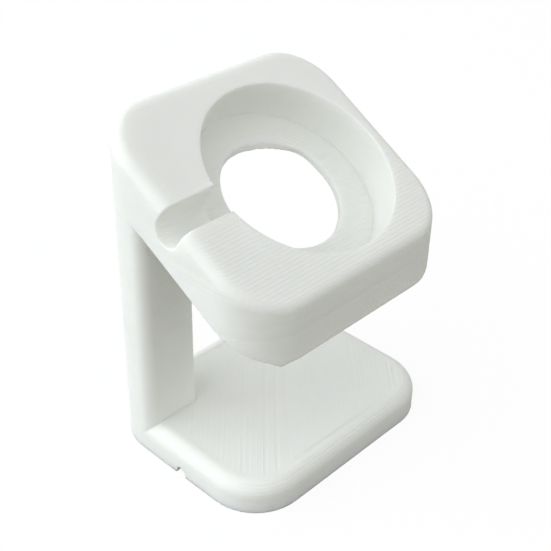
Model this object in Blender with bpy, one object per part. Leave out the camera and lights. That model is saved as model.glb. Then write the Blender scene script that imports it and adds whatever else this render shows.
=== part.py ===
"""Smartwatch stand, printed in one piece of white plastic.

A flat base carries a square post at its back left corner. The post carries a
head with the same rounded footprint as the base. The head's face slopes down
to the front and holds a stepped round seat for a charging puck, open at the
bottom, and a round-bottomed channel that leads the puck's cable out through
the left wall.

The origin is the middle of the footprint, on the surface the stand rests on.
+X is to the right, +Y to the back and +Z up. All sizes are in metres.
"""

import math

import bmesh
import bpy
from mathutils import Matrix, Vector

# Footprint, shared by the base and the head
WIDTH = 0.0400
DEPTH = 0.0320
CORNER_RADIUS = 0.0080

# Base
BASE_THICKNESS = 0.0048
BASE_EDGE_ROUND = 0.0021

# Head: its face and its underside both slope down to the front
CREST_HEIGHT = 0.0529  # of the sloping face at the back wall, before its edge is rounded
HEAD_TILT = math.radians(30.0)
HEAD_THICKNESS = 0.0079  # square to the sloping face
HEAD_EDGE_ROUND = 0.0017
HEAD_LOWER_EDGE_ROUND = 0.0004

# Post at the back left corner, flush with the left and back walls
POST_WIDTH = 0.0091
POST_DEPTH = 0.0100
POST_LEFT_EDGE_ROUND = 0.0018
POST_RIGHT_EDGE_ROUND = 0.0004

# Puck seat: places are measured on the sloping face, from the middle of the footprint
SEAT_OFFSET_RIGHT = 0.0030
SEAT_OFFSET_DOWNHILL = 0.0015
SEAT_DIAMETER = 0.0287
SEAT_DEPTH = 0.0067
PUCK_HOLE_DIAMETER = 0.0184

# Cable channel, from the seat out through the left wall
CHANNEL_WIDTH = 0.0041
CHANNEL_DEPTH = 0.0048
CHANNEL_OFFSET_DOWNHILL = 0.0012

# Nick in the lower edge of the base's left wall
NICK_WIDTH = 0.0019
NICK_HEIGHT = 0.0012
NICK_REACH = 0.0014
NICK_OFFSET_FRONT = 0.0005

# Fineness of the facets
CORNER_STEPS = 12  # in each quarter turn of an outline
EDGE_STEPS = 6  # across each rounded edge
SEAT_SEGMENTS = 96  # round the seat
CHANNEL_STEPS = 16  # round the channel's floor and the nick's roof

SHARP_ANGLE = math.radians(32.0)  # edges between faces that turn by more than this stay crisp

CUTTER_CLEARANCE = 0.003  # how far a cutter runs past the surface it opens

# Most of a wall, corner or thickness that the round along its edge may take
ROUND_SHARE = 0.9
HEAD_UPPER_ROUND_SHARE = 0.4
HEAD_LOWER_ROUND_SHARE = 0.2

SLOPE_NORMAL = Vector((0.0, -math.sin(HEAD_TILT), math.cos(HEAD_TILT)))
SLOPE_UPHILL = Vector((0.0, math.cos(HEAD_TILT), math.sin(HEAD_TILT)))
RIGHT = Vector((1.0, 0.0, 0.0))
UP = Vector((0.0, 0.0, 1.0))


def white_plastic():
    """Matt white printed plastic."""
    material = bpy.data.materials.new("white_plastic")
    material.use_nodes = True
    shader = material.node_tree.nodes["Principled BSDF"]
    shader.inputs["Base Color"].default_value = (0.86, 0.87, 0.86, 1.0)
    shader.inputs["Roughness"].default_value = 0.55
    shader.inputs["Metallic"].default_value = 0.0
    return material


def add_object(name, mesh):
    """Put a mesh into the scene as an object of its own."""
    item = bpy.data.objects.new(name, mesh)
    bpy.context.scene.collection.objects.link(item)
    return item


def hide_tool(item):
    """Mark an object as one that only shapes another by a Boolean."""
    item.hide_render = True
    item.display_type = "WIRE"
    return item


def rounded_footprint():
    """The rounded rectangle as (point, outward normal) pairs, anticlockwise from the right."""
    pairs = []
    corners = ((1, 1, 0), (-1, 1, 1), (-1, -1, 2), (1, -1, 3))
    for side_x, side_y, quarter in corners:
        centre = Vector((side_x * (WIDTH / 2 - CORNER_RADIUS), side_y * (DEPTH / 2 - CORNER_RADIUS)))
        for step in range(CORNER_STEPS + 1):
            angle = math.pi / 2 * (quarter + step / CORNER_STEPS)
            normal = Vector((math.cos(angle), math.sin(angle)))
            pairs.append((centre + CORNER_RADIUS * normal, normal))
    return pairs


def height_on_plane(plane_point, plane_normal, spot):
    """Height of a plane above the (x, y) spot."""
    across = (spot.x - plane_point.x) * plane_normal.x + (spot.y - plane_point.y) * plane_normal.y
    return plane_point.z - across / plane_normal.z


def rounded_edge_rings(outline, plane_point, plane_normal, radius):
    """Rings of a rolling-ball round between an upright wall and a level or sloping plane.

    The first ring lies on the wall and the last one on the plane. The ball touches both,
    so the radius is the same all round, also where the plane meets the wall at a sharp
    or a blunt angle. plane_normal points out of the body.
    """
    rings = []
    for step in range(EDGE_STEPS + 1):
        share = step / EDGE_STEPS
        ring = []
        for spot, wall_normal in outline:
            wall = Vector((wall_normal.x, wall_normal.y, 0.0))
            middle = spot - radius * wall_normal
            middle_height = height_on_plane(plane_point, plane_normal, middle) - radius / plane_normal.z
            towards = wall.slerp(plane_normal, share)
            ring.append(Vector((middle.x, middle.y, middle_height)) + radius * towards)
        rings.append(ring)
    return rings


def flat_ring(spots, plane_point, plane_normal):
    """The outline dropped onto a plane, with a sharp edge."""
    return [Vector((spot.x, spot.y, height_on_plane(plane_point, plane_normal, spot))) for spot in spots]


def loft(name, rings):
    """A closed mesh through rings of equal length, from the lowest to the highest, capped at both ends."""
    shape = bmesh.new()
    loops = [[shape.verts.new(point) for point in ring] for ring in rings]
    count = len(loops[0])
    for lower, upper in zip(loops, loops[1:]):
        for index in range(count):
            after = (index + 1) % count
            shape.faces.new((lower[index], lower[after], upper[after], upper[index]))
    shape.faces.new(reversed(loops[0]))
    shape.faces.new(loops[-1])
    bmesh.ops.recalc_face_normals(shape, faces=shape.faces)
    mesh = bpy.data.meshes.new(name)
    shape.to_mesh(mesh)
    shape.free()
    return mesh


def face_point(right, downhill, depth=0.0):
    """A point at a place on the sloping face, or at a depth square below it."""
    middle = Vector((0.0, 0.0, CREST_HEIGHT - DEPTH / 2 * math.tan(HEAD_TILT)))
    return middle + right * RIGHT - downhill * SLOPE_UPHILL - depth * SLOPE_NORMAL


def base_mesh():
    """Flat base plate with a rounded top edge."""
    outline = rounded_footprint()
    edge_round = min(BASE_EDGE_ROUND, ROUND_SHARE * BASE_THICKNESS, ROUND_SHARE * CORNER_RADIUS)
    top = Vector((0.0, 0.0, BASE_THICKNESS))
    foot = flat_ring([spot for spot, _ in outline], Vector(), UP)
    return loft("base", [foot] + rounded_edge_rings(outline, top, UP, edge_round))


def head_mesh():
    """Sloping head: an upright-walled block between two parallel sloping planes."""
    outline = rounded_footprint()
    corner_limit = ROUND_SHARE * CORNER_RADIUS
    top_round = min(HEAD_EDGE_ROUND, corner_limit, HEAD_UPPER_ROUND_SHARE * HEAD_THICKNESS)
    lower_round = min(HEAD_LOWER_EDGE_ROUND, corner_limit, HEAD_LOWER_ROUND_SHARE * HEAD_THICKNESS)
    upper = rounded_edge_rings(outline, face_point(0.0, 0.0), SLOPE_NORMAL, top_round)
    lower = rounded_edge_rings(outline, face_point(0.0, 0.0, HEAD_THICKNESS), -SLOPE_NORMAL, lower_round)
    return loft("head", lower[::-1] + upper)


def clip_outline(spots, corner, inward):
    """Cut a convex outline along the line through corner, keeping the side that inward points to."""
    kept = []
    for index, spot in enumerate(spots):
        following = spots[(index + 1) % len(spots)]
        here = (spot - corner).dot(inward)
        there = (following - corner).dot(inward)
        if here >= 0.0:
            kept.append(spot)
        if here * there < 0.0:
            kept.append(spot.lerp(following, here / (here - there)))
    return kept


def round_corner(spots, corner, radius):
    """Replace the outline's vertex nearest to corner by an arc that touches both its sides."""
    index = min(range(len(spots)), key=lambda number: (spots[number] - corner).length)
    vertex = spots[index]
    before = spots[index - 1] - vertex
    after = spots[(index + 1) % len(spots)] - vertex
    half_angle = before.angle(after) / 2
    reach = min(radius / math.tan(half_angle), ROUND_SHARE * before.length, ROUND_SHARE * after.length)
    arc_radius = reach * math.tan(half_angle)
    bisector = (before.normalized() + after.normalized()).normalized()
    centre = vertex + arc_radius / math.sin(half_angle) * bisector
    start = vertex + reach * before.normalized() - centre
    end = vertex + reach * after.normalized() - centre
    turn = start.angle_signed(end)
    arc = []
    for step in range(EDGE_STEPS + 1):
        arc.append(centre + Matrix.Rotation(-turn * step / EDGE_STEPS, 2) @ start)
    return spots[:index] + arc + spots[index + 1:]


def post_mesh():
    """Post whose outer walls follow the footprint, from inside the base to inside the head."""
    spots = [spot for spot, _ in rounded_footprint()]
    front = DEPTH / 2 - POST_DEPTH
    right = POST_WIDTH - WIDTH / 2
    front_right = Vector((right, front))
    spots = clip_outline(spots, front_right, Vector((0.0, 1.0)))
    spots = clip_outline(spots, front_right, Vector((-1.0, 0.0)))
    spots = round_corner(spots, Vector((-WIDTH / 2, front)), POST_LEFT_EDGE_ROUND)
    spots = round_corner(spots, front_right, POST_RIGHT_EDGE_ROUND)
    spots = round_corner(spots, Vector((right, DEPTH / 2)), POST_RIGHT_EDGE_ROUND)
    foot = flat_ring(spots, Vector((0.0, 0.0, BASE_THICKNESS / 2)), UP)
    crown = flat_ring(spots, face_point(0.0, 0.0, HEAD_THICKNESS / 2), SLOPE_NORMAL)
    return loft("post", [foot, crown])


def round_cutter(name, diameter, near_depth, far_depth):
    """Cylinder on the seat's axis, between two depths below the sloping face."""
    mesh = bpy.data.meshes.new(name)
    shape = bmesh.new()
    bmesh.ops.create_cone(
        shape,
        cap_ends=True,
        segments=SEAT_SEGMENTS,
        radius1=diameter / 2,
        radius2=diameter / 2,
        depth=far_depth - near_depth,
    )
    shape.to_mesh(mesh)
    shape.free()
    cutter = add_object(name, mesh)
    cutter.location = face_point(SEAT_OFFSET_RIGHT, SEAT_OFFSET_DOWNHILL, (near_depth + far_depth) / 2)
    cutter.rotation_euler = (HEAD_TILT, 0.0, 0.0)
    return hide_tool(cutter)


def arch_cutter(name, profile, start, end):
    """Prism of a closed profile swept along +X from start to end."""
    rings = [[Vector((x, point.y, point.z)) for point in profile] for x in (start, end)]
    return hide_tool(add_object(name, loft(name, rings)))


def channel_profile():
    """The channel's section: straight sides, open above, and a half-round floor."""
    radius = CHANNEL_WIDTH / 2
    above = -HEAD_THICKNESS
    profile = [
        face_point(0.0, CHANNEL_OFFSET_DOWNHILL - radius, above),
        face_point(0.0, CHANNEL_OFFSET_DOWNHILL + radius, above),
    ]
    for step in range(CHANNEL_STEPS + 1):
        angle = math.pi * step / CHANNEL_STEPS
        downhill = CHANNEL_OFFSET_DOWNHILL + radius * math.cos(angle)
        depth = CHANNEL_DEPTH - radius + radius * math.sin(angle)
        profile.append(face_point(0.0, downhill, depth))
    return profile


def nick_profile():
    """The nick's section: an arch that stands on the surface under the base."""
    radius = NICK_WIDTH / 2
    profile = [
        Vector((0.0, -NICK_OFFSET_FRONT - radius, -CUTTER_CLEARANCE)),
        Vector((0.0, -NICK_OFFSET_FRONT + radius, -CUTTER_CLEARANCE)),
    ]
    for step in range(CHANNEL_STEPS + 1):
        angle = math.pi * step / CHANNEL_STEPS
        across = -NICK_OFFSET_FRONT + radius * math.cos(angle)
        height = NICK_HEIGHT - radius + radius * math.sin(angle)
        profile.append(Vector((0.0, across, height)))
    return profile


def join_or_cut(body, tool, operation):
    """Add a Boolean that unites the tool with the body or takes it away."""
    boolean = body.modifiers.new(tool.name, "BOOLEAN")
    boolean.operation = operation
    boolean.object = tool
    boolean.solver = "EXACT"


def build_stand():
    """The whole stand: base, post and head in one body, less the seat, hole, channel and nick."""
    stand = add_object("stand_body", base_mesh())
    head = hide_tool(add_object("head_form", head_mesh()))
    post = hide_tool(add_object("post_form", post_mesh()))
    seat = round_cutter("seat_cutter", SEAT_DIAMETER, -HEAD_THICKNESS, SEAT_DEPTH)
    hole = round_cutter("hole_cutter", PUCK_HOLE_DIAMETER, 0.0, HEAD_THICKNESS + CUTTER_CLEARANCE)
    outside = -WIDTH / 2 - CUTTER_CLEARANCE
    channel = arch_cutter("channel_cutter", channel_profile(), outside, SEAT_OFFSET_RIGHT)
    nick = arch_cutter("nick_cutter", nick_profile(), outside, -WIDTH / 2 + NICK_REACH)
    for form in (post, head):
        join_or_cut(stand, form, "UNION")
    for cutter in (seat, hole, channel, nick):
        join_or_cut(stand, cutter, "DIFFERENCE")
    stand.data.materials.append(white_plastic())
    stand.data.shade_smooth()
    stand.data.set_sharp_from_angle(angle=SHARP_ANGLE)
    return stand


def main():
    for old in list(bpy.data.objects):
        bpy.data.objects.remove(old)
    build_stand()


main()
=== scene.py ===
"""The smartwatch stand as a finished print, in a plain studio.

The stand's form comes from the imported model. Its surface is built here the way a
printer lays it down: every layer is cut into the mesh, the walls get the shallow
grooves between the layers, the sloping faces get their steps and the base's top gets
the lines of its last skin. All sizes are in metres, +X is to the right, +Y to the back
and +Z up.
"""

import logging
import math
import random
from dataclasses import dataclass, field
from enum import Enum

import bmesh
import bpy
from mathutils import Matrix, Vector
from mathutils.bvhtree import BVHTree

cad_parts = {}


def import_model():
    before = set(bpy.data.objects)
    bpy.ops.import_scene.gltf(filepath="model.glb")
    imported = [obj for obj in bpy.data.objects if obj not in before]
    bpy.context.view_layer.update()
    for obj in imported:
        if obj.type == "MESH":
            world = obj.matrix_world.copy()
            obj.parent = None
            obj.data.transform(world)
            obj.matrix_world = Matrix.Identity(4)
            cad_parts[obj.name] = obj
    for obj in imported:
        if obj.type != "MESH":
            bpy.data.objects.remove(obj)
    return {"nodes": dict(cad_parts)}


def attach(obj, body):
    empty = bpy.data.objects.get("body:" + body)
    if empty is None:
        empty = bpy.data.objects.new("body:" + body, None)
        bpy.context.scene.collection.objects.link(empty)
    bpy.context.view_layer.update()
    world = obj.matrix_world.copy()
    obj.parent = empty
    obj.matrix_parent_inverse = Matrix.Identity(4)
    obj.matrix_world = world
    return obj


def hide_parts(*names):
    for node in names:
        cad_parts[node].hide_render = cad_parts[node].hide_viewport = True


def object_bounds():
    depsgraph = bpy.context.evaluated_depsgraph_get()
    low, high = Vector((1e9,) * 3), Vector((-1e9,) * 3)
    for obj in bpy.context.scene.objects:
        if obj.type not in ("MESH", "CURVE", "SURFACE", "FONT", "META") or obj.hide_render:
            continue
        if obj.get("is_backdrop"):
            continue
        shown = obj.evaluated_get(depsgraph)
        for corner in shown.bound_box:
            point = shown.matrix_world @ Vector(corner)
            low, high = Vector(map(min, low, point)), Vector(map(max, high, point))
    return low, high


LOG = logging.getLogger("stand_scene")

UP = Vector((0.0, 0.0, 1.0))
RIGHT = Vector((1.0, 0.0, 0.0))
WHITE = (1.0, 1.0, 1.0)
LAYER_HEIGHT = 0.000287
BEAD_DRIFT_SIZE = 0.0035


class Zone(Enum):
    """The kinds of printed surface, each with its own finish, in the order of the slots."""

    LAYERED = 0
    TOP_SKIN = 1
    UNDERSIDE = 2


@dataclass(frozen=True)
class HeadPlan:
    """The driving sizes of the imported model's sloping head.

    Attributes:
        depth: The stand's depth from front to back.
        crest_height: Height of the sloping face at the back wall, before its edge is rounded.
        tilt: Angle between the sloping face and the level.
        thickness: The head's thickness, square to the sloping face.
        seat_right: How far the seat's axis lies to the right of the face's middle.
        seat_downhill: How far it lies downhill of the face's middle.
        seat_radius: The seat's radius.
        seat_depth: Depth of the seat, down to its ledge.
        hole_radius: Radius of the hole in the ledge.
        channel_radius: Half the cable channel's width, and the radius of its floor.
        channel_depth: Depth of the channel.
        channel_downhill: How far its middle lies downhill of the face's middle.
    """

    depth: float = 0.0320
    crest_height: float = 0.0529
    tilt: float = math.radians(30.0)
    thickness: float = 0.0079
    seat_right: float = 0.0030
    seat_downhill: float = 0.0015
    seat_radius: float = 0.01435
    seat_depth: float = 0.0067
    hole_radius: float = 0.0092
    channel_radius: float = 0.00205
    channel_depth: float = 0.0048
    channel_downhill: float = 0.0012

    def normal(self) -> Vector:
        """Direction square to the sloping face, upwards."""
        return Vector((0.0, -math.sin(self.tilt), math.cos(self.tilt)))

    def uphill(self) -> Vector:
        """Direction straight up the slope."""
        return Vector((0.0, math.cos(self.tilt), math.sin(self.tilt)))

    def face_height(self, back: float) -> float:
        """Height of the sloping face at a distance behind the middle."""
        return self.crest_height - math.tan(self.tilt) * (self.depth / 2 - back)

    def underside_height(self, back: float) -> float:
        """Height of the head's underside at a distance behind the middle."""
        return self.face_height(back) - self.thickness / math.cos(self.tilt)

    def under_face(self, right: float, downhill: float, sunk: float) -> Vector:
        """Place a point under the sloping face.

        Args:
            right: How far it lies to the right of the face's middle.
            downhill: How far it lies downhill of the face's middle.
            sunk: How far it lies under the face, square to it.

        Returns:
            The point.
        """
        middle = Vector((right, 0.0, self.face_height(0.0)))
        return middle - self.uphill() * downhill - self.normal() * sunk

    def seat_axis(self, sunk: float) -> Vector:
        """The point on the seat's axis at a depth under the sloping face."""
        return self.under_face(self.seat_right, self.seat_downhill, sunk)

    def channel_axis(self) -> Vector:
        """A point on the middle line of the channel's half-round floor, which runs along +X."""
        return self.under_face(0.0, self.channel_downhill, self.channel_depth - self.channel_radius)

    def split(self, way: Vector) -> tuple[float, Vector]:
        """Split a way between two points into a part square to the sloping face and the rest.

        Args:
            way: The way from one point to the other.

        Returns:
            Its length square to the face, and the rest, which runs along the face.
        """
        normal = self.normal()
        above = way.dot(normal)
        return above, way - normal * above


HEAD = HeadPlan()


def limited(share: float) -> float:
    """Keep a share between 0 and 1."""
    return min(1.0, max(0.0, share))


@dataclass(frozen=True)
class PrintSettings:
    """How the stand was printed.

    Attributes:
        layer_height: Height of one layer.
        groove_depth: Depth of the groove between two layers on an upright wall.
        groove_share: Half the groove's width, as a share of the layer height.
        riser_share: Height of a step's riser, as a share of the layer height.
        stair_share: How much of a sharp step is left after the plastic has flowed.
        stair_share_low: The same in the lower layers, which are crisper.
        crisp_below: Height up to which the steps are crisp.
        soft_above: Height from which they are soft.
        steep_share: How much of a step is left where the surface is steep.
        steep_from: Upward part of a normal under which a surface begins to count as steep.
        steep_fade: How much less of it the surface needs to be steep in full.
        level_from: Upward part of a normal from which the steps are too wide to show.
        level_fade: How much less of it the steps need to show in full.
        layer_scatter: How far a layer may be laid too far in.
        skin_spacing: Distance between two beads of the base's top skin.
        skin_depth: Depth of the groove between two beads of the skin.
        skin_pair_depth: How much lower a bead laid on the way back lies at most.
        border_width: Width of the smooth bead round the skin.
        skin_cuts: How many strips a bead of the skin is cut into.
        column_width: Length of the pieces that a sloping step is made of.
        edge_break: Width of the round that the nozzle leaves on a sharp edge.
        edge_segments: How many strips that round has.
    """

    layer_height: float = LAYER_HEIGHT
    groove_depth: float = 0.000022
    groove_share: float = 0.4
    riser_share: float = 0.2
    stair_share: float = 0.07
    stair_share_low: float = 0.20
    crisp_below: float = 0.0402
    soft_above: float = 0.0430
    steep_share: float = 0.3
    steep_from: float = 0.85
    steep_fade: float = 0.25
    level_from: float = 0.935
    level_fade: float = 0.065
    layer_scatter: float = 0.000036
    skin_spacing: float = 0.00041
    skin_depth: float = 0.000006
    skin_pair_depth: float = 0.000045
    border_width: float = 0.0005
    skin_cuts: int = 4
    column_width: float = 0.0016
    edge_break: float = 0.00008
    edge_segments: int = 2


@dataclass(frozen=True)
class LooseLayers:
    """The lowest layers of the head, which hang over the gap and don't lie close together.

    Attributes:
        reach: How far up the layers are loose.
        groove_depth: Depth of the lowest groove.
        tuck: How far the lowest layer lies inside the wall.
        post_right: The post carries the head on the left of this.
        post_front: The post carries the head behind this.
        hole_clear: Distance from the middle of the hole's lower rim up to which nothing is loose.
    """

    reach: float = 0.0009
    groove_depth: float = 0.00005
    tuck: float = 0.00012
    post_right: float = -0.0109
    post_front: float = 0.006
    hole_clear: float = 0.0115

    def looseness(self, spot: Vector) -> float:
        """How loose the layers are at a point.

        Args:
            spot: The point.

        Returns:
            The looseness, from 0 to 1.
        """
        above = abs(spot.z - HEAD.underside_height(spot.y))
        if above > self.reach or (spot - HEAD.seat_axis(HEAD.thickness)).length < self.hole_clear:
            return 0.0
        clear = max(self.post_front - spot.y, spot.x - self.post_right) / self.reach
        return (1.0 - above / self.reach) * limited(clear)


@dataclass(frozen=True)
class RimSag:
    """A part of the hole's lower rim where the beads hang into the hole or fell short of it.

    Attributes:
        turn: Middle of the part, in radians from +X uphill.
        spread: Half its length, in radians.
        inward: How far its middle hangs into the hole, below zero where it falls short.
    """

    turn: float
    spread: float
    inward: float

    def reach(self, turn: float) -> float:
        """How far the rim hangs into the hole in a direction."""
        away = abs((turn - self.turn + math.pi) % math.tau - math.pi) / self.spread
        return self.inward * (0.5 + 0.5 * math.cos(math.pi * away)) if away < 1.0 else 0.0


@dataclass(frozen=True)
class SaggedHole:
    """The lower rim of the hole in the seat, printed over nothing.

    Attributes:
        skirt: Width of the ring round the rim, on the underside, that follows it.
        below_share: How far under the rim a point may lie and follow it, as a share of the wall.
        strand_share: How unevenly the layers of the wall hang.
        sags: The parts that hang in or fall short.
    """

    skirt: float = 0.0016
    below_share: float = 0.2
    strand_share: float = 0.22
    sags: tuple[RimSag, ...] = (
        RimSag(math.radians(76.0), math.radians(48.0), 0.00062),
        RimSag(math.radians(28.0), math.radians(24.0), -0.00045),
        RimSag(math.radians(120.0), math.radians(22.0), 0.00012),
    )

    def move(self, spot: Vector) -> Vector:
        """Find how far the sagging moves a point of the surface.

        Args:
            spot: The point.

        Returns:
            The way that it moves.
        """
        wall = HEAD.thickness - HEAD.seat_depth
        above, flat = HEAD.split(spot - HEAD.seat_axis(HEAD.thickness))
        out = flat.length - HEAD.hole_radius
        if not -self.skirt < out < self.skirt or not -self.below_share * wall < above < wall:
            return Vector()
        turn = math.atan2(flat.dot(HEAD.uphill()), flat.x)
        reach = sum(sag.reach(turn) for sag in self.sags)
        fade = (1.0 - max(0.0, above) / wall) * (1.0 - max(0.0, out) / self.skirt)
        strand = math.cos(math.tau * spot.z / LAYER_HEIGHT)
        uneven = 1.0 - self.strand_share * (0.5 + 0.5 * strand)
        return flat.normalized() * -reach * fade * uneven


@dataclass(frozen=True)
class SoftRims:
    """The rims of the seat, its hole and the cable channel, rounder than the print's other edges.

    Attributes:
        channel_right: The channel ends on the left of this, in the seat's wall.
        width: Width of the round on the seat and the channel.
        hole_width: Width of the round on the hole.
        segments: How many strips a round has.
        slack: How far an edge may lie from a rim and still belong to it.
    """

    channel_right: float = -0.0100
    width: float = 0.00026
    hole_width: float = 0.00035
    segments: int = 4
    slack: float = 0.00003

    def on_circle(self, spot: Vector, sunk: float, radius: float) -> bool:
        """Tell whether a point lies on a circle round the seat's axis.

        Args:
            spot: The point.
            sunk: How far the circle lies under the sloping face.
            radius: The circle's radius.

        Returns:
            True where it does.
        """
        above, flat = HEAD.split(spot - HEAD.seat_axis(sunk))
        return abs(above) < self.slack and abs(flat.length - radius) < self.slack

    def on_channel(self, spot: Vector) -> bool:
        """Tell whether a point lies on the surface of the channel.

        Args:
            spot: The point.

        Returns:
            True where it does.
        """
        above, flat = HEAD.split(spot - HEAD.channel_axis())
        aside = math.hypot(flat.y, flat.z)
        reach = aside if above > 0.0 else math.hypot(aside, above)
        return spot.x < self.channel_right and abs(reach - HEAD.channel_radius) < self.slack

    def seat_or_channel(self, edge: bmesh.types.BMEdge) -> bool:
        """Tell whether an edge is part of the seat's rim or of one of the channel's.

        Args:
            edge: The edge.

        Returns:
            True where it is.
        """
        spots = [vert.co for vert in edge.verts]
        seat = all(self.on_circle(spot, 0.0, HEAD.seat_radius) for spot in spots)
        return seat or all(self.on_channel(spot) for spot in spots)

    def hole(self, edge: bmesh.types.BMEdge) -> bool:
        """Whether an edge is part of the hole's upper rim."""
        return all(self.on_circle(vert.co, HEAD.seat_depth, HEAD.hole_radius) for vert in edge.verts)


@dataclass(frozen=True)
class PrintFlaw:
    """A spot where the plastic sagged or the nozzle left a speck.

    Attributes:
        name: What it is.
        place: Its middle.
        reach: How far from the middle the surface is disturbed.
        push: How far and where to its middle is moved.
    """

    name: str
    place: tuple[float, float, float]
    reach: float
    push: tuple[float, float, float]

    def move(self, spot: Vector) -> Vector:
        """Find how far the flaw moves a point of the surface.

        Args:
            spot: The point.

        Returns:
            The way that it moves.
        """
        away = (spot - Vector(self.place)).length / self.reach
        if away >= 1.0:
            return Vector()
        return Vector(self.push) * (1.0 - away * away) ** 2


def group_socket(
    group: bpy.types.ShaderNodeTree, name: str, kind: str, direction: str, default: float | None = None
) -> None:
    """Add a named socket to a node group.

    Args:
        group: The node group.
        name: The socket's name.
        kind: The socket's type, such as NodeSocketFloat.
        direction: INPUT or OUTPUT.
        default: The value of an input that nothing feeds.
    """
    socket = group.interface.new_socket(name=name, in_out=direction, socket_type=kind)
    if default is not None:
        socket.default_value = default


def math_node(
    tree: bpy.types.ShaderNodeTree,
    operation: str,
    first: bpy.types.NodeSocket | float,
    second: bpy.types.NodeSocket | float = 0.0,
) -> bpy.types.NodeSocket:
    """Add a Math node.

    Args:
        tree: The tree that gets the node.
        operation: What the node works out, such as MULTIPLY.
        first: The first socket or number.
        second: The second socket or number.

    Returns:
        The node's output.
    """
    node = tree.nodes.new("ShaderNodeMath")
    node.operation = operation
    for index, value in enumerate((first, second)):
        if isinstance(value, bpy.types.NodeSocket):
            tree.links.new(value, node.inputs[index])
        else:
            node.inputs[index].default_value = value
    return node.outputs[0]


def noise_node(
    tree: bpy.types.ShaderNodeTree,
    place: bpy.types.NodeSocket,
    size: bpy.types.NodeSocket | float,
    detail: float = 2.0,
) -> bpy.types.NodeSocket:
    """Add a noise texture.

    Args:
        tree: The tree that gets the node.
        place: The socket that gives the place in metres.
        size: About the size of a patch, in metres.
        detail: How many finer layers the noise has.

    Returns:
        The noise as a value from 0 to 1.
    """
    node = tree.nodes.new("ShaderNodeTexNoise")
    node.inputs["Detail"].default_value = detail
    tree.links.new(math_node(tree, "DIVIDE", 1.0, size), node.inputs["Scale"])
    tree.links.new(place, node.inputs["Vector"])
    return node.outputs["Fac"]


def plastic_grain_group() -> bpy.types.ShaderNodeTree:
    """Build the group for what all printed plastic shares: slow mottling and a fine grain.

    Returns:
        A group with the inputs Mottle Size and Grain Size, and the outputs Mottle and Grain,
        both from 0 to 1.
    """
    group = bpy.data.node_groups.new("plastic_grain", "ShaderNodeTree")
    group_socket(group, "Mottle Size", "NodeSocketFloat", "INPUT", 0.006)
    group_socket(group, "Grain Size", "NodeSocketFloat", "INPUT", 0.0003)
    group_socket(group, "Mottle", "NodeSocketFloat", "OUTPUT")
    group_socket(group, "Grain", "NodeSocketFloat", "OUTPUT")
    given = group.nodes.new("NodeGroupInput")
    place = group.nodes.new("ShaderNodeTexCoord").outputs["Object"]
    mottle = noise_node(group, place, given.outputs["Mottle Size"])
    grain = noise_node(group, place, given.outputs["Grain Size"], detail=3.0)
    result = group.nodes.new("NodeGroupOutput")
    group.links.new(mottle, result.inputs["Mottle"])
    group.links.new(grain, result.inputs["Grain"])
    return group


def bead_group() -> bpy.types.ShaderNodeTree:
    """Build the group for beads of plastic laid side by side, a little uneven along their length.

    Returns:
        A group with the inputs Across X, Across Y, Across Z, Spacing and Wander, and the
        output Height from 0 in the groove to 1 on the crown.
    """
    group = bpy.data.node_groups.new("laid_beads", "ShaderNodeTree")
    for axis, default in (("X", 0.0), ("Y", 0.0), ("Z", 1.0)):
        group_socket(group, f"Across {axis}", "NodeSocketFloat", "INPUT", default)
    group_socket(group, "Spacing", "NodeSocketFloat", "INPUT", 0.0003)
    group_socket(group, "Wander", "NodeSocketFloat", "INPUT", 0.1)
    group_socket(group, "Height", "NodeSocketFloat", "OUTPUT")
    given = group.nodes.new("NodeGroupInput")
    place = group.nodes.new("ShaderNodeTexCoord").outputs["Object"]
    parts = group.nodes.new("ShaderNodeSeparateXYZ")
    group.links.new(place, parts.inputs[0])
    across = math_node(group, "MULTIPLY", parts.outputs["X"], given.outputs["Across X"])
    for axis in ("Y", "Z"):
        share = math_node(group, "MULTIPLY", parts.outputs[axis], given.outputs[f"Across {axis}"])
        across = math_node(group, "ADD", across, share)
    count = math_node(group, "DIVIDE", across, given.outputs["Spacing"])
    drift = math_node(group, "SUBTRACT", noise_node(group, place, BEAD_DRIFT_SIZE), 0.5)
    count = math_node(group, "ADD", count, math_node(group, "MULTIPLY", drift, given.outputs["Wander"]))
    wave = math_node(group, "COSINE", math_node(group, "MULTIPLY", count, math.tau))
    height = math_node(group, "SUBTRACT", 0.5, math_node(group, "MULTIPLY", wave, 0.5))
    result = group.nodes.new("NodeGroupOutput")
    group.links.new(height, result.inputs["Height"])
    return group


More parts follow.
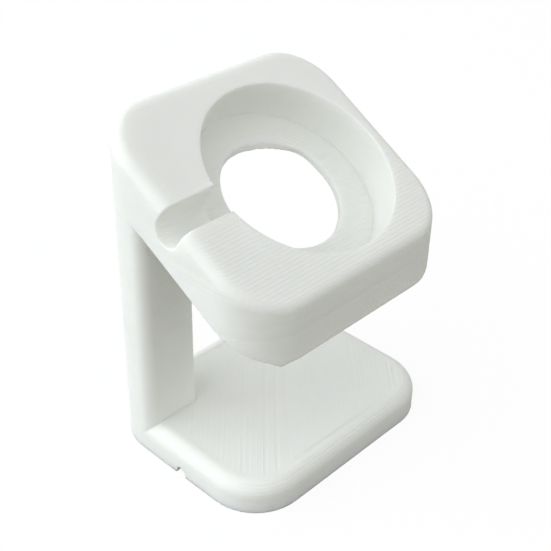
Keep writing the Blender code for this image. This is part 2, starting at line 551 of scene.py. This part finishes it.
@dataclass(frozen=True)
class PlasticFinish:
    """White printed plastic on one kind of surface.

    Attributes:
        name: The material's name.
        pale: The colour where the plastic is whitest.
        deep: The colour where it is a little denser.
        roughness: Roughness where the plastic is smoothest.
        roughness_spread: How much rougher the roughest spots are.
        ior: The plastic's index of refraction.
        subsurface_weight: Share of the light that enters the plastic and leaves it elsewhere.
        subsurface_radius: How far red, green and blue light spread in it, as shares of the scale.
        subsurface_scale: The scale of that spread.
        mottle_size: Size of the patches that are a little denser.
        grain_size: Size of the fine grain.
        across: Direction across the beads.
        spacing: Distance between two beads.
        wander: How far a bead strays, as a share of the spacing.
        bead_depth: Depth of the relief that the bump adds to the mesh's own beads.
        grain_depth: Depth of the fine grain.
    """

    name: str
    pale: tuple[float, float, float] = (0.866, 0.880, 0.848)
    deep: tuple[float, float, float] = (0.836, 0.850, 0.812)
    roughness: float = 0.64
    roughness_spread: float = 0.16
    ior: float = 1.46
    subsurface_weight: float = 0.7
    subsurface_radius: tuple[float, float, float] = (1.0, 0.95, 0.8)
    subsurface_scale: float = 0.0017
    mottle_size: float = 0.0062
    grain_size: float = 0.00035
    across: tuple[float, float, float] = (0.0, 0.0, 1.0)
    spacing: float = LAYER_HEIGHT
    wander: float = 0.12
    bead_depth: float = 0.000006
    grain_depth: float = 0.000004

    def build(self, grain: bpy.types.ShaderNodeTree, beads: bpy.types.ShaderNodeTree) -> bpy.types.Material:
        """Make the material.

        Args:
            grain: The group for mottling and grain.
            beads: The group for laid beads.

        Returns:
            The finished material.
        """
        material = bpy.data.materials.new(self.name)
        material.use_nodes = True
        tree = material.node_tree
        shader = tree.nodes["Principled BSDF"]
        shader.inputs["Metallic"].default_value = 0.0
        shader.inputs["IOR"].default_value = self.ior
        shader.inputs["Subsurface Weight"].default_value = self.subsurface_weight
        shader.inputs["Subsurface Radius"].default_value = self.subsurface_radius
        shader.inputs["Subsurface Scale"].default_value = self.subsurface_scale
        surface = tree.nodes.new("ShaderNodeGroup")
        surface.node_tree = grain
        surface.inputs["Mottle Size"].default_value = self.mottle_size
        surface.inputs["Grain Size"].default_value = self.grain_size
        laid = tree.nodes.new("ShaderNodeGroup")
        laid.node_tree = beads
        for axis, amount in zip("XYZ", self.across):
            laid.inputs[f"Across {axis}"].default_value = amount
        laid.inputs["Spacing"].default_value = self.spacing
        laid.inputs["Wander"].default_value = self.wander
        blend = tree.nodes.new("ShaderNodeMix")
        blend.data_type = "RGBA"
        blend.inputs["A"].default_value = (*self.pale, 1.0)
        blend.inputs["B"].default_value = (*self.deep, 1.0)
        tree.links.new(surface.outputs["Mottle"], blend.inputs["Factor"])
        tree.links.new(blend.outputs["Result"], shader.inputs["Base Color"])
        rougher = math_node(tree, "MULTIPLY", surface.outputs["Grain"], self.roughness_spread)
        tree.links.new(math_node(tree, "ADD", rougher, self.roughness), shader.inputs["Roughness"])
        bead_height = math_node(tree, "MULTIPLY", laid.outputs["Height"], self.bead_depth)
        grain_height = math_node(tree, "MULTIPLY", surface.outputs["Grain"], self.grain_depth)
        bump = tree.nodes.new("ShaderNodeBump")
        bump.inputs["Distance"].default_value = 1.0
        tree.links.new(math_node(tree, "ADD", bead_height, grain_height), bump.inputs["Height"])
        tree.links.new(bump.outputs["Normal"], shader.inputs["Normal"])
        return material


@dataclass
class PrintedStand:
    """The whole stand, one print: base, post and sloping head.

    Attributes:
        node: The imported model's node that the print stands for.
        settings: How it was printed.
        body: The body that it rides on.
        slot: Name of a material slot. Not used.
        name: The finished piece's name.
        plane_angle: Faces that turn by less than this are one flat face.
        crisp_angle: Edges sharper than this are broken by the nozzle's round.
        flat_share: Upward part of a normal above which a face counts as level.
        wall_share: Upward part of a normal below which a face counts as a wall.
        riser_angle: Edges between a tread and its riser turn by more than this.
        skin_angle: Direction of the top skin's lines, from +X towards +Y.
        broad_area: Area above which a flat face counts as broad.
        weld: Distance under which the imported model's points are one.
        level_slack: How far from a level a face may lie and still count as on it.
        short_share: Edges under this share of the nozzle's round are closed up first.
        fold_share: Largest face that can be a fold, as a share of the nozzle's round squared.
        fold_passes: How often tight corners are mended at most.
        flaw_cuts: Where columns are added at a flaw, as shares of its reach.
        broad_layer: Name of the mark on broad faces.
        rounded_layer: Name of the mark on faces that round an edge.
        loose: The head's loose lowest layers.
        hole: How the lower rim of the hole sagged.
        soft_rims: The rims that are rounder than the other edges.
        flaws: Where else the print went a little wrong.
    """

    node: bpy.types.Object
    settings: PrintSettings = field(default_factory=PrintSettings)
    body: str = "root"
    slot: str = "white_plastic"
    name: str = "printed_stand"
    plane_angle: float = math.radians(0.3)
    crisp_angle: float = math.radians(28.0)
    flat_share: float = 0.999
    wall_share: float = 0.1
    riser_angle: float = math.radians(20.0)
    skin_angle: float = math.radians(45.0)
    broad_area: float = 1.5e-5
    weld: float = 1e-6
    level_slack: float = 1e-5
    short_share: float = 1 / 3
    fold_share: float = 3.0
    fold_passes: int = 4
    flaw_cuts: tuple[float, ...] = (-0.6, -0.2, 0.2, 0.6)
    broad_layer: str = "broad"
    rounded_layer: str = "rounded"
    loose: LooseLayers = field(default_factory=LooseLayers)
    hole: SaggedHole = field(default_factory=SaggedHole)
    soft_rims: SoftRims = field(default_factory=SoftRims)
    flaws: tuple[PrintFlaw, ...] = (
        PrintFlaw("corner_droop", (-0.0151, -0.0154, 0.0257), 0.0017, (0.0, 0.0, -0.00050)),
        PrintFlaw("edge_droop", (-0.0199, -0.0092, 0.0292), 0.0008, (-0.00004, -0.0001, -0.00030)),
        PrintFlaw("rim_speck", (-0.01122, 0.00100, 0.04422), 0.00045, (0.0, -0.00010, 0.00022)),
        PrintFlaw("seat_blemish", (0.00812, 0.01071, 0.04985), 0.0007, (0.0, -0.00004, 0.00007)),
    )

    def build(self) -> bpy.types.Object:
        """Build the print and put it in the stand's place.

        Returns:
            The finished piece.
        """
        shape = bmesh.new()
        shape.from_mesh(self.node.data)
        bmesh.ops.remove_doubles(shape, verts=shape.verts, dist=self.weld)
        bmesh.ops.dissolve_limit(shape, angle_limit=self.plane_angle, verts=shape.verts, edges=shape.edges)
        shortest = self.settings.edge_break * self.short_share
        bmesh.ops.dissolve_degenerate(shape, dist=shortest, edges=shape.edges)
        self.break_edges(shape)
        self.mark_faces(shape)
        self.rule_top_skin(shape)
        self.rule_columns(shape)
        self.cut_layers(shape)
        self.press_relief(shape)
        self.mark_risers(shape)
        piece = self.finish_mesh(shape)
        self.dress(piece)
        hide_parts("stand_body")
        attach(piece, self.body)
        return piece

    def break_edges(self, shape: bmesh.types.BMesh) -> None:
        """Round the sharp outer edges a little, as the nozzle leaves them, and mark the new faces.

        Args:
            shape: The mesh.
        """
        rounded = shape.faces.layers.int.new(self.rounded_layer)
        shape.normal_update()
        before = BVHTree.FromBMesh(shape)
        rims = self.soft_rims
        broad_rims = [edge for edge in self.crisp_edges(shape) if rims.seat_or_channel(edge)]
        self.round_edges(shape, broad_rims, rims.width, rims.segments, rounded)
        hole_rim = [edge for edge in self.crisp_edges(shape) if rims.hole(edge)]
        self.round_edges(shape, hole_rim, rims.hole_width, rims.segments, rounded)
        settings = self.settings
        crisp = self.crisp_edges(shape)
        self.round_edges(shape, crisp, settings.edge_break, settings.edge_segments, rounded)
        for _ in range(self.fold_passes):
            if not self.mend_folds(shape, before):
                break

    def crisp_edges(self, shape: bmesh.types.BMesh) -> list[bmesh.types.BMEdge]:
        """Find the sharp outer edges above the surface that the stand rests on.

        Args:
            shape: The mesh.

        Returns:
            The edges.
        """
        shape.normal_update()
        return [
            edge
            for edge in shape.edges
            if len(edge.link_faces) == 2
            and edge.is_convex
            and edge.calc_face_angle() > self.crisp_angle
            and max(vert.co.z for vert in edge.verts) > self.weld
        ]

    @staticmethod
    def round_edges(
        shape: bmesh.types.BMesh,
        edges: list[bmesh.types.BMEdge],
        width: float,
        segments: int,
        rounded: bmesh.types.BMLayerItem,
    ) -> None:
        """Round some edges and mark the new faces.

        Args:
            shape: The mesh.
            edges: The edges.
            width: Width of the round on each side of an edge.
            segments: How many strips the round has.
            rounded: The layer of faces that marks them.
        """
        made = bmesh.ops.bevel(
            shape,
            geom=edges,
            offset=width,
            offset_type="OFFSET",
            segments=segments,
            profile=0.5,
            affect="EDGES",
            clamp_overlap=False,
        )
        for face in made["faces"]:
            face[rounded] = 1

    def mend_folds(self, shape: bmesh.types.BMesh, before: BVHTree) -> int:
        """Close the tiny faces that the rounding of a tight corner has turned over.

        Args:
            shape: The mesh.
            before: The surface before its edges were rounded.

        Returns:
            How many faces were closed.
        """
        shape.normal_update()
        largest = self.settings.edge_break ** 2 * self.fold_share
        folded = []
        for face in shape.faces:
            if face.calc_area() > largest:
                continue
            _, normal, _, _ = before.find_nearest(face.calc_center_median())
            if face.normal.dot(normal) < 0.0:
                folded.append(face)
        edges = {edge for face in folded for edge in face.edges}
        if edges:
            bmesh.ops.collapse(shape, edges=list(edges), uvs=False)
            bmesh.ops.dissolve_degenerate(shape, dist=self.weld, edges=shape.edges)
        stray = [edge for edge in shape.edges if not edge.link_faces]
        bmesh.ops.delete(shape, geom=stray, context="EDGES")
        return len(folded)

    def mark_faces(self, shape: bmesh.types.BMesh) -> None:
        """Mark the broad flat faces and give each face the slot of its kind of surface.

        Args:
            shape: The mesh.
        """
        broad = shape.faces.layers.int.new(self.broad_layer)
        level = self.base_top()
        shape.normal_update()
        for face in shape.faces:
            middle = face.calc_center_median().z
            face.material_index = Zone.LAYERED.value
            if face.calc_area() > self.broad_area:
                face[broad] = 1
                if face.normal.z > self.flat_share and abs(middle - level) < self.level_slack:
                    face.material_index = Zone.TOP_SKIN.value
            if face.normal.z < -self.flat_share and middle < self.weld:
                face.material_index = Zone.UNDERSIDE.value

    def base_top(self) -> float:
        """Find the base's flat top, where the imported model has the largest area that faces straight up.

        Returns:
            Its height.
        """
        areas: dict[float, float] = {}
        for face in self.node.data.polygons:
            if face.normal.z > self.flat_share:
                height = round(face.center.z, 6)
                areas[height] = areas.get(height, 0.0) + face.area
        return max(areas, key=areas.__getitem__)

    def skin_direction(self) -> Vector:
        """Direction across the top skin's lines."""
        return Vector((math.sin(self.skin_angle), -math.cos(self.skin_angle), 0.0))

    @staticmethod
    def places_across(faces: list[bmesh.types.BMFace], across: Vector, step: float) -> list[float]:
        """List the whole steps along a direction that some faces reach over.

        Args:
            faces: The faces.
            across: The direction.
            step: The distance between two places.

        Returns:
            The places, in rising order.
        """
        reach = [vert.co.dot(across) for face in faces for vert in face.verts]
        first = math.ceil(min(reach) / step)
        last = math.floor(max(reach) / step)
        return [step * number for number in range(first, last + 1)]

    @staticmethod
    def sweep(
        shape: bmesh.types.BMesh, start: list[bmesh.types.BMFace], across: Vector, places: list[float]
    ) -> None:
        """Cut faces by parallel planes, each cut working only on what lies beyond the last one.

        Args:
            shape: The mesh.
            start: The faces to cut.
            across: The planes' normal.
            places: Where the planes lie along it, in rising order.
        """
        tolerance = 1e-8
        beyond = start
        for place in places:
            crossed = []
            clear = []
            for face in beyond:
                reach = [vert.co.dot(across) for vert in face.verts]
                if max(reach) <= place + tolerance:
                    continue
                if min(reach) < place - tolerance:
                    crossed.append(face)
                else:
                    clear.append(face)
            beyond = clear
            if not crossed:
                continue
            edges = {edge for face in crossed for edge in face.edges}
            verts = {vert for face in crossed for vert in face.verts}
            cut = bmesh.ops.bisect_plane(
                shape,
                geom=[*verts, *edges, *crossed],
                dist=tolerance,
                plane_co=across * place,
                plane_no=across,
            )
            made = [part for part in cut["geom"] if isinstance(part, bmesh.types.BMFace)]
            beyond = clear + made

    def rule_top_skin(self, shape: bmesh.types.BMesh) -> None:
        """Set the base's top skin in from its border bead and cut it along its lines.

        Args:
            shape: The mesh.
        """
        settings = self.settings
        skin = self.faces_of(shape, Zone.TOP_SKIN)
        border = bmesh.ops.inset_region(
            shape, faces=skin, thickness=settings.border_width, use_even_offset=True, use_boundary=True
        )
        for face in border["faces"]:
            face.material_index = Zone.LAYERED.value
        skin = self.faces_of(shape, Zone.TOP_SKIN)
        across = self.skin_direction()
        places = self.places_across(skin, across, settings.skin_spacing / settings.skin_cuts)
        self.sweep(shape, skin, across, places)

    def rule_columns(self, shape: bmesh.types.BMesh) -> None:
        """Cut the broad sloping faces into columns, so that no step is one long sliver.

        Args:
            shape: The mesh.
        """
        broad = shape.faces.layers.int[self.broad_layer]
        slopes = [
            face
            for face in shape.faces
            if face[broad] and self.wall_share < abs(face.normal.z) < self.flat_share
        ]
        places = set(self.places_across(slopes, RIGHT, self.settings.column_width))
        for flaw in self.flaws:
            places.update(flaw.place[0] + flaw.reach * share for share in self.flaw_cuts)
        self.sweep(shape, slopes, RIGHT, sorted(places))

    def cut_layers(self, shape: bmesh.types.BMesh) -> None:
        """Cut the walls and slopes at every layer and at the two ends of every step's riser.

        Args:
            shape: The mesh.
        """
        height = self.settings.layer_height
        half_riser = self.settings.riser_share / 2
        top = max(vert.co.z for vert in shape.verts)
        places = []
        for number in range(math.ceil(top / height)):
            for share in (0.5 - half_riser, 0.5 + half_riser, 1.0):
                places.append((number + share) * height)
        sides = [face for face in shape.faces if abs(face.normal.z) < self.flat_share]
        self.sweep(shape, sides, UP, places)

    def layer_relief(self, spot: Vector, slope: float) -> float:
        """Depth of the layered surface at a place.

        Args:
            spot: The place.
            slope: Upward part of the surface's normal.

        Returns:
            How far the surface lies outside the model's, never more than zero.
        """
        settings = self.settings
        height = spot.z
        share = height / settings.layer_height % 1.0
        from_groove = min(share, 1.0 - share)
        groove = max(0.0, 1.0 - from_groove / settings.groove_share)
        loose = self.loose.looseness(spot)
        depth = settings.groove_depth + self.loose.groove_depth * loose
        wall = (depth * groove + self.scatter(height) + self.loose.tuck * loose) * (1.0 - abs(slope))
        half_riser = settings.riser_share / 2
        along = (share + 0.5) % 1.0
        if along < half_riser or along > 1.0 - half_riser:
            from_riser = along if along < 0.5 else along - 1.0
            rise = (0.5 - half_riser) * from_riser / half_riser
        else:
            rise = 0.5 - along
        fade = limited((settings.level_from - abs(slope)) / settings.level_fade)
        step = settings.layer_height * self.step_share(height, slope) * fade
        return step * (slope * rise - abs(slope) / 2) - wall

    def step_share(self, height: float, slope: float) -> float:
        """How much of a sharp step is left.

        Args:
            height: The height of the place.
            slope: Upward part of the surface's normal.

        Returns:
            The share, from 0 to 1.
        """
        settings = self.settings
        soft = limited((height - settings.crisp_below) / (settings.soft_above - settings.crisp_below))
        steep = limited((settings.steep_from - abs(slope)) / settings.steep_fade)
        share = settings.stair_share_low * (1.0 - soft) + settings.stair_share * soft
        return share * (1.0 - steep * (1.0 - settings.steep_share))

    def scatter(self, height: float) -> float:
        """Find how far a layer was laid too far in. The layers beside it are nearly in line.

        Args:
            height: A height in the layer.

        Returns:
            The distance.
        """
        layer = math.floor(height / self.settings.layer_height)
        drawn = [random.Random(layer + offset).random() for offset in (-1, 0, 1)]
        return sum(drawn) / len(drawn) * self.settings.layer_scatter

    def skin_relief(self, spot: Vector) -> float:
        """Depth of the base's top skin at a place.

        Args:
            spot: The place.

        Returns:
            How far the surface lies outside the model's, never more than zero.
        """
        share = spot.dot(self.skin_direction()) / self.settings.skin_spacing
        groove = self.settings.skin_depth * (0.5 + 0.5 * math.cos(math.tau * share))
        # One draw for each pair of beads. It changes where the pair's wave is at zero.
        lower = random.Random(math.floor(share / 2 + 0.25)).random()
        pair = self.settings.skin_pair_depth * lower * (0.5 + 0.5 * math.sin(math.pi * share))
        return -groove - pair

    def surface_normal(self, shape: bmesh.types.BMesh, vert: bmesh.types.BMVert) -> Vector:
        """Normal of the model's surface at a point, taken from the broadest kind of face beside it.

        Args:
            shape: The mesh.
            vert: The point.

        Returns:
            The normal, of length one.
        """
        broad = shape.faces.layers.int[self.broad_layer]
        rounded = shape.faces.layers.int[self.rounded_layer]
        beside = [face for face in vert.link_faces if face[broad]]
        if not beside:
            beside = [face for face in vert.link_faces if not face[rounded]]
        if not beside:
            return vert.normal
        return sum((face.normal * face.calc_area() for face in beside), Vector()).normalized()

    def press_relief(self, shape: bmesh.types.BMesh) -> None:
        """Move every point by the print's relief and flaws. Points under the base stay.

        Args:
            shape: The mesh.
        """
        shape.normal_update()
        moves = []
        for vert in shape.verts:
            move = Vector()
            if vert.co.z > self.weld:
                normal = self.surface_normal(shape, vert)
                if any(face.material_index == Zone.TOP_SKIN.value for face in vert.link_faces):
                    move = self.skin_relief(vert.co) * normal
                else:
                    move = self.layer_relief(vert.co, normal.z) * normal
                for flaw in (self.hole, *self.flaws):
                    move = move + flaw.move(vert.co)
            moves.append(move)
        for vert, move in zip(shape.verts, moves):
            vert.co += move
        LOG.info("relief pressed in, with %s", ", ".join(flaw.name for flaw in self.flaws))

    def mark_risers(self, shape: bmesh.types.BMesh) -> None:
        """Mark the edges of the steps as sharp, and leave the rounds and corners smooth.

        Args:
            shape: The mesh.
        """
        shape.normal_update()
        rounded = shape.faces.layers.int[self.rounded_layer]
        for edge in shape.edges:
            turn = edge.calc_face_angle(0.0) if len(edge.link_faces) == 2 else 0.0
            plain = not any(face[rounded] for face in edge.link_faces)
            edge.smooth = not (plain and turn > self.riser_angle)

    def finish_mesh(self, shape: bmesh.types.BMesh) -> bpy.types.Object:
        """Make the piece from the mesh, with normals that follow the larger faces.

        Args:
            shape: The mesh, which is freed.

        Returns:
            The piece, in the scene.
        """
        mesh = bpy.data.meshes.new(self.name)
        for face in shape.faces:
            face.smooth = True
        shape.to_mesh(mesh)
        shape.free()
        piece = bpy.data.objects.new(self.name, mesh)
        bpy.context.scene.collection.objects.link(piece)
        even = piece.modifiers.new("even_normals", "WEIGHTED_NORMAL")
        even.mode = "FACE_AREA"
        even.keep_sharp = True
        seen = piece.evaluated_get(bpy.context.evaluated_depsgraph_get())
        piece.data = bpy.data.meshes.new_from_object(seen)
        piece.modifiers.clear()
        bpy.data.meshes.remove(mesh)
        piece.data.name = self.name
        return piece

    @staticmethod
    def faces_of(shape: bmesh.types.BMesh, zone: Zone) -> list[bmesh.types.BMFace]:
        """The faces of one kind of surface."""
        return [face for face in shape.faces if face.material_index == zone.value]

    def dress(self, piece: bpy.types.Object) -> None:
        """Give the piece a finish for each kind of surface.

        Args:
            piece: The printed stand.
        """
        grain = plastic_grain_group()
        beads = bead_group()
        across = tuple(self.skin_direction())
        finishes = {
            Zone.LAYERED: PlasticFinish("layered_plastic", spacing=self.settings.layer_height),
            Zone.TOP_SKIN: PlasticFinish(
                "top_skin_plastic", across=across, spacing=self.settings.skin_spacing, wander=0.2
            ),
            Zone.UNDERSIDE: PlasticFinish(
                "first_layer_plastic",
                across=(across[0], -across[1], 0.0),
                spacing=self.settings.skin_spacing,
                roughness=0.30,
                bead_depth=0.00001,
            ),
        }
        for zone in Zone:
            piece.data.materials.append(finishes[zone].build(grain, beads))


@dataclass(frozen=True)
class SoftBox:
    """A large soft lamp aimed at the stand.

    Attributes:
        name: The lamp's name.
        azimuth: Where it stands round the stand, in degrees from the front towards the right.
        elevation: How high it stands, in degrees.
        power: Its power in watts.
        colour: The colour of its light.
        distance: How far away it stands.
        size: Side of its square face.
    """

    name: str
    azimuth: float
    elevation: float
    power: float
    colour: tuple[float, float, float]
    distance: float = 1.1
    size: float = 0.9

    def build(self, aim: Vector) -> bpy.types.Object:
        """Make the lamp.

        Args:
            aim: The point that it is turned to.

        Returns:
            The lamp.
        """
        light = bpy.data.lights.new(self.name, "AREA")
        light.shape = "SQUARE"
        light.size = self.size
        light.energy = self.power
        light.color = self.colour
        lamp = bpy.data.objects.new(self.name, light)
        bpy.context.scene.collection.objects.link(lamp)
        turn = math.radians(self.azimuth)
        rise = math.radians(self.elevation)
        away = Vector((math.sin(turn) * math.cos(rise), -math.cos(turn) * math.cos(rise), math.sin(rise)))
        lamp.location = aim + away * self.distance
        lamp.rotation_euler = away.to_track_quat("Z", "Y").to_euler()
        return lamp


@dataclass(frozen=True)
class Studio:
    """Plain white floor, surroundings and soft lamps.

    Attributes:
        floor_size: Side of the floor.
        floor_drop: Gap under the stand that keeps the floor out of its base.
        floor_colour: The floor's colour for the light that it throws back.
        floor_roughness: How rough the floor is.
        floor_glow: Share of the floor that the camera sees as plain white, without shadow.
        surroundings: Strength of the even light from all round.
        surroundings_colour: Its colour.
        lamps: The soft lamps.
    """

    floor_size: float = 3.0
    floor_drop: float = 0.00002
    floor_colour: tuple[float, float, float] = (0.31, 0.30, 0.26)
    floor_roughness: float = 0.9
    floor_glow: float = 0.90
    surroundings: float = 0.72
    surroundings_colour: tuple[float, float, float] = (0.99, 1.0, 0.99)
    lamps: tuple[SoftBox, ...] = (
        SoftBox("window_left", azimuth=-135.0, elevation=20.0, power=6.3, colour=(0.89, 0.97, 1.0)),
        SoftBox("window_side", azimuth=-90.0, elevation=35.0, power=3.6, colour=(0.90, 0.91, 1.0)),
    )

    def build(self, aim: Vector) -> None:
        """Build the studio round the stand.

        Args:
            aim: The point that the lamps are turned to.
        """
        self.lay_floor()
        self.light_surroundings()
        for lamp in self.lamps:
            lamp.build(aim)

    def lay_floor(self) -> None:
        """Lay the white floor. The camera sees it near white, with the stand's shadow kept."""
        half = self.floor_size / 2
        mesh = bpy.data.meshes.new("studio_floor")
        corners = [(-half, -half, 0.0), (half, -half, 0.0), (half, half, 0.0), (-half, half, 0.0)]
        mesh.from_pydata(corners, [], [(0, 1, 2, 3)])
        floor = bpy.data.objects.new("studio_floor", mesh)
        floor.location.z = -self.floor_drop
        bpy.context.scene.collection.objects.link(floor)
        material = bpy.data.materials.new("studio_floor")
        material.use_nodes = True
        tree = material.node_tree
        shader = tree.nodes["Principled BSDF"]
        shader.inputs["Base Color"].default_value = (*self.floor_colour, 1.0)
        shader.inputs["Roughness"].default_value = self.floor_roughness
        shader.inputs["Specular IOR Level"].default_value = 0.0
        pale = tree.nodes.new("ShaderNodeBsdfDiffuse")
        pale.inputs["Color"].default_value = (*WHITE, 1.0)
        white = tree.nodes.new("ShaderNodeEmission")
        white.inputs["Strength"].default_value = 1.0
        backdrop = tree.nodes.new("ShaderNodeMixShader")
        backdrop.inputs["Fac"].default_value = self.floor_glow
        tree.links.new(pale.outputs[0], backdrop.inputs[1])
        tree.links.new(white.outputs[0], backdrop.inputs[2])
        blend = tree.nodes.new("ShaderNodeMixShader")
        tree.links.new(self.seen_share(tree), blend.inputs["Fac"])
        tree.links.new(shader.outputs[0], blend.inputs[1])
        tree.links.new(backdrop.outputs[0], blend.inputs[2])
        tree.links.new(blend.outputs[0], tree.nodes["Material Output"].inputs["Surface"])
        mesh.materials.append(material)
        floor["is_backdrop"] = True

    @staticmethod
    def seen_share(tree: bpy.types.ShaderNodeTree) -> bpy.types.NodeSocket:
        """Tell what the camera sees, itself, in a reflection or through glass, from what only lights.

        Args:
            tree: The material's or the world's tree.

        Returns:
            A socket that is one where the camera sees it, else zero.
        """
        path = tree.nodes.new("ShaderNodeLightPath")
        seen = math_node(tree, "MAXIMUM", path.outputs["Is Camera Ray"], path.outputs["Is Glossy Ray"])
        return math_node(tree, "MAXIMUM", seen, path.outputs["Is Transmission Ray"])

    def light_surroundings(self) -> None:
        """Light the stand evenly from all round, and show the camera white."""
        world = bpy.data.worlds.new("studio_surroundings")
        bpy.context.scene.world = world
        world.use_nodes = True
        tree = world.node_tree
        even = tree.nodes["Background"]
        even.inputs["Color"].default_value = (*self.surroundings_colour, 1.0)
        even.inputs["Strength"].default_value = self.surroundings
        white = tree.nodes.new("ShaderNodeBackground")
        white.inputs["Color"].default_value = (*WHITE, 1.0)
        blend = tree.nodes.new("ShaderNodeMixShader")
        tree.links.new(self.seen_share(tree), blend.inputs["Fac"])
        tree.links.new(even.outputs[0], blend.inputs[1])
        tree.links.new(white.outputs[0], blend.inputs[2])
        tree.links.new(blend.outputs[0], tree.nodes["World Output"].inputs["Surface"])


@dataclass(frozen=True)
class PhotographCamera:
    """The photograph's camera, as fitted to the stand's edges.

    Attributes:
        lens: Focal length in millimetres.
        sensor: Sensor width in millimetres.
        azimuth: Where it stands, in degrees from the front towards the left.
        elevation: How steeply it looks down, in degrees.
        roll: How far it leans, in degrees.
        distance: Distance from the aim.
        aim_height: Height of the aim over the middle of the footprint.
        slide_right: How far the aim slides to the picture's right.
        slide_up: How far the aim slides up the picture.
        nearest: How near to the camera things still show.
    """

    lens: float = 68.4603
    sensor: float = 36.0
    azimuth: float = 46.5648
    elevation: float = 33.4616
    roll: float = -1.1870
    distance: float = 0.152514
    aim_height: float = 0.024
    slide_right: float = -0.000111
    slide_up: float = 0.001194
    nearest: float = 0.01

    def build(self) -> bpy.types.Object:
        """Make the camera and let the scene use it.

        Returns:
            The camera.
        """
        turn = math.radians(self.azimuth)
        rise = math.radians(self.elevation)
        back = Vector((-math.sin(turn) * math.cos(rise), -math.cos(turn) * math.cos(rise), math.sin(rise)))
        right = UP.cross(back).normalized()
        upright = Matrix((right, back.cross(right), back)).transposed()
        turned = upright @ Matrix.Rotation(-math.radians(self.roll), 3, "Z")
        aim = Vector((0.0, 0.0, self.aim_height))
        aim += turned.col[0] * self.slide_right + turned.col[1] * self.slide_up
        data = bpy.data.cameras.new("photograph_camera")
        data.lens = self.lens
        data.sensor_width = self.sensor
        data.clip_start = self.nearest
        camera = bpy.data.objects.new("photograph_camera", data)
        camera.matrix_world = Matrix.Translation(aim + turned.col[2] * self.distance) @ turned.to_4x4()
        bpy.context.scene.collection.objects.link(camera)
        bpy.context.scene.camera = camera
        return camera


def main() -> None:
    """Build the scene: the print, the studio round it and the camera."""
    logging.basicConfig(level=logging.INFO, format="%(name)s: %(message)s")
    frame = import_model()
    model_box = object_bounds()
    bpy.context.scene.view_settings.view_transform = "Standard"
    stand = PrintedStand(frame["nodes"]["stand_body"]).build()
    triangles = sum(len(face.vertices) - 2 for face in stand.data.polygons)
    LOG.info("%s built with %d triangles", stand.name, triangles)
    aim = (model_box[0] + model_box[1]) / 2
    Studio().build(aim)
    LOG.info("studio built")
    camera = PhotographCamera().build()
    LOG.info("%s built", camera.name)


if __name__ == "__main__":
    main()
